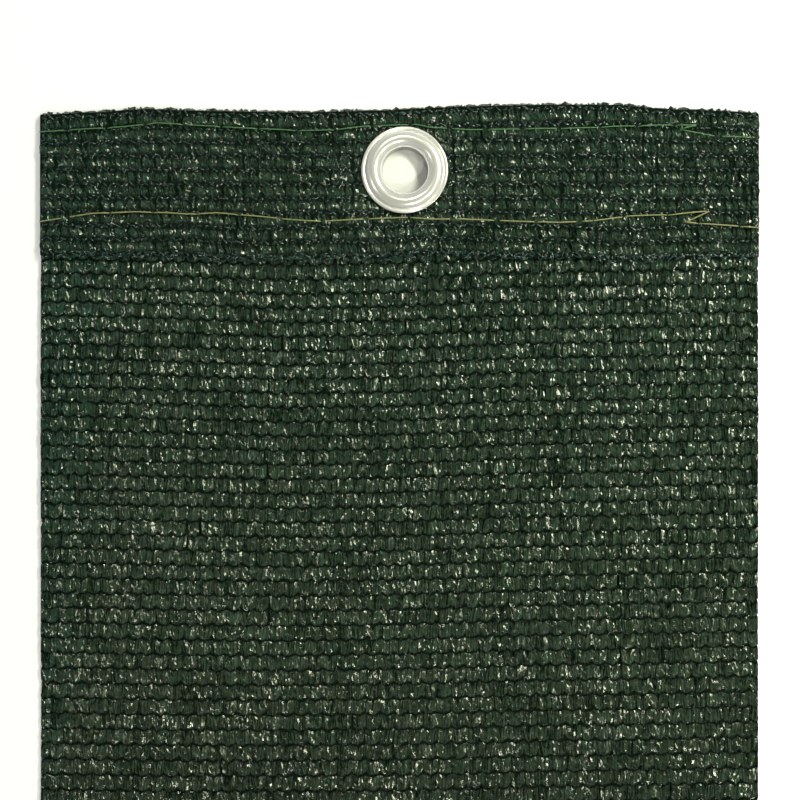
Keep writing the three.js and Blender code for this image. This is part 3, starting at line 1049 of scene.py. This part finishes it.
# %% Film of the tape
TAPE_ROUGHNESS = 0.15
TAPES = {
    "face_tape": {"tones": SCREEN_TONES, "brightness": 1.15, "shine": 0.56, "bump": 0.35},
    "strip_tape": {"tones": SCREEN_TONES, "brightness": 1.2, "shine": 0.52, "bump": 0.35},
    "chain_tape": {"tones": CHAIN_TONES, "brightness": 0.85, "shine": 0.75, "bump": 0.3},
    "edge_tape": {"tones": CHAIN_TONES, "brightness": 0.8, "shine": 0.6, "bump": 0.3},
}
BLOTCH = {"scale": 750, "share": 0.16}
WRINKLE = {"scale": 2800, "depth": 0.0002, "stretch": (1.0, 0.4, 1.0)}


def tape_material(name):
    """Dark glossy film, its green led by the patch's tone, a fine noise and the depth mark's painted
    shade.
    """
    tape = TAPES[name]
    material = bpy.data.materials.new(name)
    material.use_nodes = True
    tree = material.node_tree
    link = tree.links.new
    shader = tree.nodes["Principled BSDF"]
    shader.inputs["Roughness"].default_value = TAPE_ROUGHNESS
    shader.inputs["Specular IOR Level"].default_value = tape["shine"]
    where = new_node(tree, "ShaderNodeTexCoord")
    tone = new_node(tree, "ShaderNodeAttribute")
    tone.attribute_name = "tone"
    depth = new_node(tree, "ShaderNodeAttribute")
    depth.attribute_name = "depth"
    fine = new_node(tree, "ShaderNodeTexNoise", Scale=BLOTCH["scale"], Detail=2)
    mixed = new_node(tree, "ShaderNodeMath")
    mixed.operation = "MULTIPLY_ADD"
    mixed.inputs[1].default_value = BLOTCH["share"]
    ramp = colour_ramp(tree, tape["tones"], tape["brightness"])
    tint = place_tint(tree, where)
    tinted = new_node(tree, "ShaderNodeVectorMath")
    tinted.operation = "MULTIPLY"
    # Painted shade: the depth mark scales the base colour down in creases and between stitches
    shade = new_node(tree, "ShaderNodeMapRange")
    shade.inputs["To Min"].default_value = CREVICE_SHADE
    darken = new_node(tree, "ShaderNodeVectorMath")
    darken.operation = "SCALE"
    stretch = new_node(tree, "ShaderNodeMapping", Scale=WRINKLE["stretch"])
    wrinkle = new_node(tree, "ShaderNodeTexNoise", Scale=WRINKLE["scale"], Detail=2)
    height = new_node(tree, "ShaderNodeBump", Strength=tape["bump"], Distance=WRINKLE["depth"])
    link(where.outputs["Object"], fine.inputs["Vector"])
    link(tone.outputs["Fac"], mixed.inputs[0])
    link(fine.outputs["Fac"], mixed.inputs[2])
    link(mixed.outputs["Value"], ramp.inputs["Fac"])
    link(depth.outputs["Fac"], shade.inputs["Value"])
    link(ramp.outputs["Color"], tinted.inputs[0])
    link(tint.outputs["Vector"], tinted.inputs[1])
    link(tinted.outputs["Vector"], darken.inputs[0])
    link(shade.outputs["Result"], darken.inputs["Scale"])
    link(darken.outputs["Vector"], shader.inputs["Base Color"])
    link(where.outputs["Object"], stretch.inputs["Vector"])
    link(stretch.outputs["Vector"], wrinkle.inputs["Vector"])
    link(wrinkle.outputs["Fac"], height.inputs["Height"])
    link(height.outputs["Normal"], shader.inputs["Normal"])
    return material


face_tape, strip_tape, chain_tape, edge_tape = (tape_material(name) for name in TAPES)
print("tape finishes:", ", ".join(TAPES))

# %% [markdown]
# ### Thread and metal
# The rest is plain: the dark ground behind the loops, whose near-black colour is partly painted
# shade for the holes between stitches, two threads, one green and one olive, and the plated rings.
# A soft noise changes their shade a little, since nothing real has one flat colour.
# The eyelet's plating is half metal and half lacquer, with a thin clear coat that gives it small
# sharp lights, and shade is painted into its colour where it dips into the bore. A full metal would
# mirror the dark studio and look grey.

# %% Plain finishes and plated metal
MOTTLE = {"dark_at": 0.35, "pale_at": 0.65}
COAT = {"weight": 0.4, "roughness": 0.08}
PLAIN_FINISHES = {
    # The ground's near-black is dark tape painted darker still, as shade in the holes between
    # stitches
    "ground_tape_with_painted_shade": {"colour": (0.0048, 0.0105, 0.0068), "roughness": 0.9},
    "green_thread": {"colour": (0.075, 0.19, 0.075), "roughness": 0.4},
    "olive_thread": {"colour": (0.27, 0.27, 0.12), "roughness": 0.4},
    "plated_back": {"colour": (0.80, 0.81, 0.82), "roughness": 0.25, "metallic": 1.0, "noise": 0.05},
}
PLATED_METAL = {"colour": (0.97, 0.95, 0.99), "roughness": 0.22, "metallic": 0.55, "noise": 0.03}
BORE_SHADE = 0.25


def plain_material(name, colour, roughness, metallic=0.0, noise=0.08, scale=200.0):
    """A finish with a slight procedural change of shade, for thread, metal and floor."""
    material = bpy.data.materials.new(name)
    material.use_nodes = True
    tree = material.node_tree
    shader = tree.nodes["Principled BSDF"]
    texture = tree.nodes.new("ShaderNodeTexNoise")
    texture.inputs["Scale"].default_value = scale
    darker = [c * (1 - noise) for c in colour]
    ramp = colour_ramp(tree, {MOTTLE["dark_at"]: darker, MOTTLE["pale_at"]: colour})
    place_in = tree.nodes.new("ShaderNodeTexCoord")
    tree.links.new(place_in.outputs["Object"], texture.inputs["Vector"])
    tree.links.new(texture.outputs["Fac"], ramp.inputs["Fac"])
    tree.links.new(ramp.outputs["Color"], shader.inputs["Base Color"])
    shader.inputs["Roughness"].default_value = roughness
    shader.inputs["Metallic"].default_value = metallic
    return material


def metal_material(name, finish):
    """Plated metal with shade painted into its colour where it lies deep in the bore."""
    material = plain_material(name, **finish)
    tree = material.node_tree
    shader = tree.nodes["Principled BSDF"]
    link = tree.links.new
    depth = new_node(tree, "ShaderNodeAttribute")
    depth.attribute_name = "depth"
    # Painted shade: the depth mark darkens the base colour deep in the bore
    shade = new_node(tree, "ShaderNodeMapRange")
    shade.inputs["To Min"].default_value = BORE_SHADE
    darken = new_node(tree, "ShaderNodeVectorMath")
    darken.operation = "SCALE"
    link(depth.outputs["Fac"], shade.inputs["Value"])
    link(shader.inputs["Base Color"].links[0].from_socket, darken.inputs[0])
    link(shade.outputs["Result"], darken.inputs["Scale"])
    link(darken.outputs["Vector"], shader.inputs["Base Color"])
    shader.inputs["Coat Weight"].default_value = COAT["weight"]
    shader.inputs["Coat Roughness"].default_value = COAT["roughness"]
    return material


ground_tape_with_painted_shade, green_thread, olive_thread, plated_back = (
    plain_material(name, **finish) for name, finish in PLAIN_FINISHES.items()
)
ground_tape_with_painted_shade.node_tree.nodes["Principled BSDF"].inputs["Specular IOR Level"].default_value = 0.0
plated_metal = metal_material("plated_metal", PLATED_METAL)
print("plain finishes:", ", ".join(PLAIN_FINISHES), "and", plated_metal.name)

# %% [markdown]
# ## Which piece wears what
# One table pairs the pieces with their finish and with the slot of the part that carries it; the
# finishes go on here, and the slot names are left unused. All pieces ride on the one body, since a
# cloth that lies has nothing that turns or slides. The ground sheet stands for both cloth solids,
# and the two rings stand for the plain eyelet and washer.

# %% Hand out finishes and bodies
finishes = [
    (face_pieces, face_tape, "screen_cloth"),
    (reverse_pieces[:1], strip_tape, "hem_cloth"),
    (reverse_pieces[1:2], chain_tape, "hem_cloth"),
    (reverse_pieces[2:3], strip_tape, "screen_cloth"),
    (reverse_pieces[3:4], chain_tape, "screen_cloth"),
    ([loose_loops], edge_tape, "hem_cloth"),
    ([ground], ground_tape_with_painted_shade, "screen_cloth"),
    ([upper_thread], green_thread, "hem_cloth"),
    ([lower_thread], olive_thread, "hem_cloth"),
    ([eyelet_ring], plated_metal, "eyelet_metal"),
    ([washer_ring], plated_back, "washer_metal"),
]
for pieces, material, slot_name in finishes:
    for piece in pieces:
        piece.data.materials.append(material)
        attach(piece, "root")
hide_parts("screen_body", "hem_strip")
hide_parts("eyelet")
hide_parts("eyelet_washer")

# %% [markdown]
# ## The floor
# The screen lies on a plain pale floor. The floor glows a little, so that it stays white beside the
# cloth, but not inside the eyelet, where it lies in the shade. A brighter lamp would whiten the
# floor as well, but it would wash out the dark knit.

# %% Floor
FLOOR_HALF = 1.5
FLOOR_DROP = 0.0001
FLOOR_FINISH = {"colour": (0.91, 0.90, 0.96), "roughness": 0.9, "noise": 0.01, "scale": 2.0}
FLOOR_GLOW = (0.86, 0.87, 1.0)
FLOOR_GLOW_STRENGTH = 0.24
UNLIT = {"within": 6.0, "fades_to": 12.0}
floor_mesh = bpy.data.meshes.new("floor")
corners = [(-1, -1), (1, -1), (1, 1), (-1, 1)]
floor_points = [(x * FLOOR_HALF, y * FLOOR_HALF, -FLOOR_DROP) for x, y in corners]
floor_mesh.from_pydata(floor_points, [], [(0, 1, 2, 3)])
floor = bpy.data.objects.new("floor", floor_mesh)
bpy.context.scene.collection.objects.link(floor)
pale = plain_material("pale_floor", **FLOOR_FINISH)
floor_tree = pale.node_tree
pale_shader = floor_tree.nodes["Principled BSDF"]
pale_shader.inputs["Emission Color"].default_value = (*FLOOR_GLOW, 1)
on_floor = new_node(floor_tree, "ShaderNodeTexCoord")
from_eyelet = new_node(floor_tree, "ShaderNodeVectorMath")
from_eyelet.operation = "DISTANCE"
from_eyelet.inputs[1].default_value = (eyelet_x * MM, eyelet_y * MM, 0)
glow = new_node(floor_tree, "ShaderNodeMapRange")
glow.inputs["From Min"].default_value = UNLIT["within"] * MM
glow.inputs["From Max"].default_value = UNLIT["fades_to"] * MM
glow.inputs["To Max"].default_value = FLOOR_GLOW_STRENGTH
floor_tree.links.new(on_floor.outputs["Object"], from_eyelet.inputs[0])
floor_tree.links.new(from_eyelet.outputs["Value"], glow.inputs["Value"])
floor_tree.links.new(glow.outputs["Result"], pale_shader.inputs["Emission Strength"])
floor.data.materials.append(pale)
print("floor: %.1f m square" % (2 * FLOOR_HALF))

# %% [markdown]
# ## The camera
# The photograph looks straight down on the cloth. Its scale, in pixels to a millimetre, and the
# pixel row of the fold line are enough to work out where the camera hangs, so the picture is framed
# by arithmetic and not by trial.

# %% Camera
LENS = 60.0
SENSOR = 36.0
PIXELS_PER_MM = 4.31
PHOTO_SIDE = 800
FOLD_LINE_PIXEL = 107
CAMERA_X = 0.12
CLIP = {"near": 0.01, "far": 10.0}
camera_data = bpy.data.cameras.new("camera")
camera_data.lens = LENS
camera_data.sensor_width = SENSOR
camera = bpy.data.objects.new("camera", camera_data)
bpy.context.scene.collection.objects.link(camera)
view_width = PHOTO_SIDE / PIXELS_PER_MM
camera_y = fold_line_y - (PHOTO_SIDE / 2 - FOLD_LINE_PIXEL) / PIXELS_PER_MM
camera_height = view_width * LENS / SENSOR + CLOTH_THICKNESS
camera.location = (CAMERA_X * MM, camera_y * MM, camera_height * MM)
camera_data.clip_start = CLIP["near"]
camera_data.clip_end = CLIP["far"]
bpy.context.scene.camera = camera
print("camera %.3f m above the floor" % camera.location.z)

# %% [markdown]
# ## The light
# Softboxes stand round the cloth and the sky overhead is dim. Dark glossy film shows little but
# mirror images, so small strong lights make short crisp glints on its creases, while one large
# light would only lay a grey veil over the cloth. The lights at the south and east keep the glints
# even from the hem down to the cut end.


# %% Lights
def area_light(name, location, size, power, colour):
    """A soft light turned towards the origin, with its place, width and height in metres."""
    data = bpy.data.lights.new(name, "AREA")
    data.shape = "RECTANGLE"
    data.size, data.size_y = size
    data.energy = power
    data.color = colour
    lamp = bpy.data.objects.new(name, data)
    bpy.context.scene.collection.objects.link(lamp)
    lamp.location = location
    toward = -np.array(location)
    across = math.atan2(toward[1], toward[0])
    down = math.acos(toward[2] / np.linalg.norm(toward))
    lamp.rotation_euler = (down + math.pi, 0, across + math.pi / 2 + math.pi)
    return lamp


WARM = (0.97, 1.0, 0.74)
COOL = (0.76, 0.90, 1.0)
LIGHTS = {
    "warm_north_east": {"at": (0.70, 0.40, 0.97), "size": (0.50, 0.50), "watts": 57, "colour": WARM},
    "warm_west": {"at": (-0.62, -0.10, 0.70), "size": (0.13, 0.13), "watts": 7, "colour": WARM},
    "warm_east": {"at": (0.50, -0.25, 0.78), "size": (0.10, 0.10), "watts": 5, "colour": WARM},
    "warm_north": {"at": (-0.05, 0.45, 0.85), "size": (0.10, 0.10), "watts": 1.5, "colour": WARM},
    "warm_south_east": {"at": (0.20, -0.50, 0.75), "size": (0.10, 0.10), "watts": 7, "colour": WARM},
    "cool_south": {"at": (-0.08, -0.66, 0.58), "size": (0.50, 0.10), "watts": 8, "colour": COOL},
}
for name, light in LIGHTS.items():
    area_light(name, light["at"], light["size"], light["watts"], light["colour"])
print(len(LIGHTS), "lights")

# %% Sky
SKY_COLOUR = (0.97, 0.98, 1.0)
SKY_LOW = 0.3
SKY_HIGH = 0.03
SKY_FADE = {"from": 0.35, "to": 0.9}
world = bpy.data.worlds.new("studio")
bpy.context.scene.world = world
world.use_nodes = True
sky = world.node_tree
backdrop = sky.nodes["Background"]
backdrop.inputs["Color"].default_value = (*SKY_COLOUR, 1)
direction = new_node(sky, "ShaderNodeTexCoord")
split = new_node(sky, "ShaderNodeSeparateXYZ")
overhead = new_node(sky, "ShaderNodeMapRange")
overhead.interpolation_type = "SMOOTHSTEP"
overhead.inputs["From Min"].default_value = SKY_FADE["from"]
overhead.inputs["From Max"].default_value = SKY_FADE["to"]
overhead.inputs["To Min"].default_value = SKY_LOW
overhead.inputs["To Max"].default_value = SKY_HIGH
sky.links.new(direction.outputs["Generated"], split.inputs["Vector"])
sky.links.new(split.outputs["Z"], overhead.inputs["Value"])
sky.links.new(overhead.outputs["Result"], backdrop.inputs["Strength"])
bpy.context.scene.view_settings.view_transform = "Standard"
print("sky strength from %.2f low down to %.2f overhead" % (SKY_LOW, SKY_HIGH))
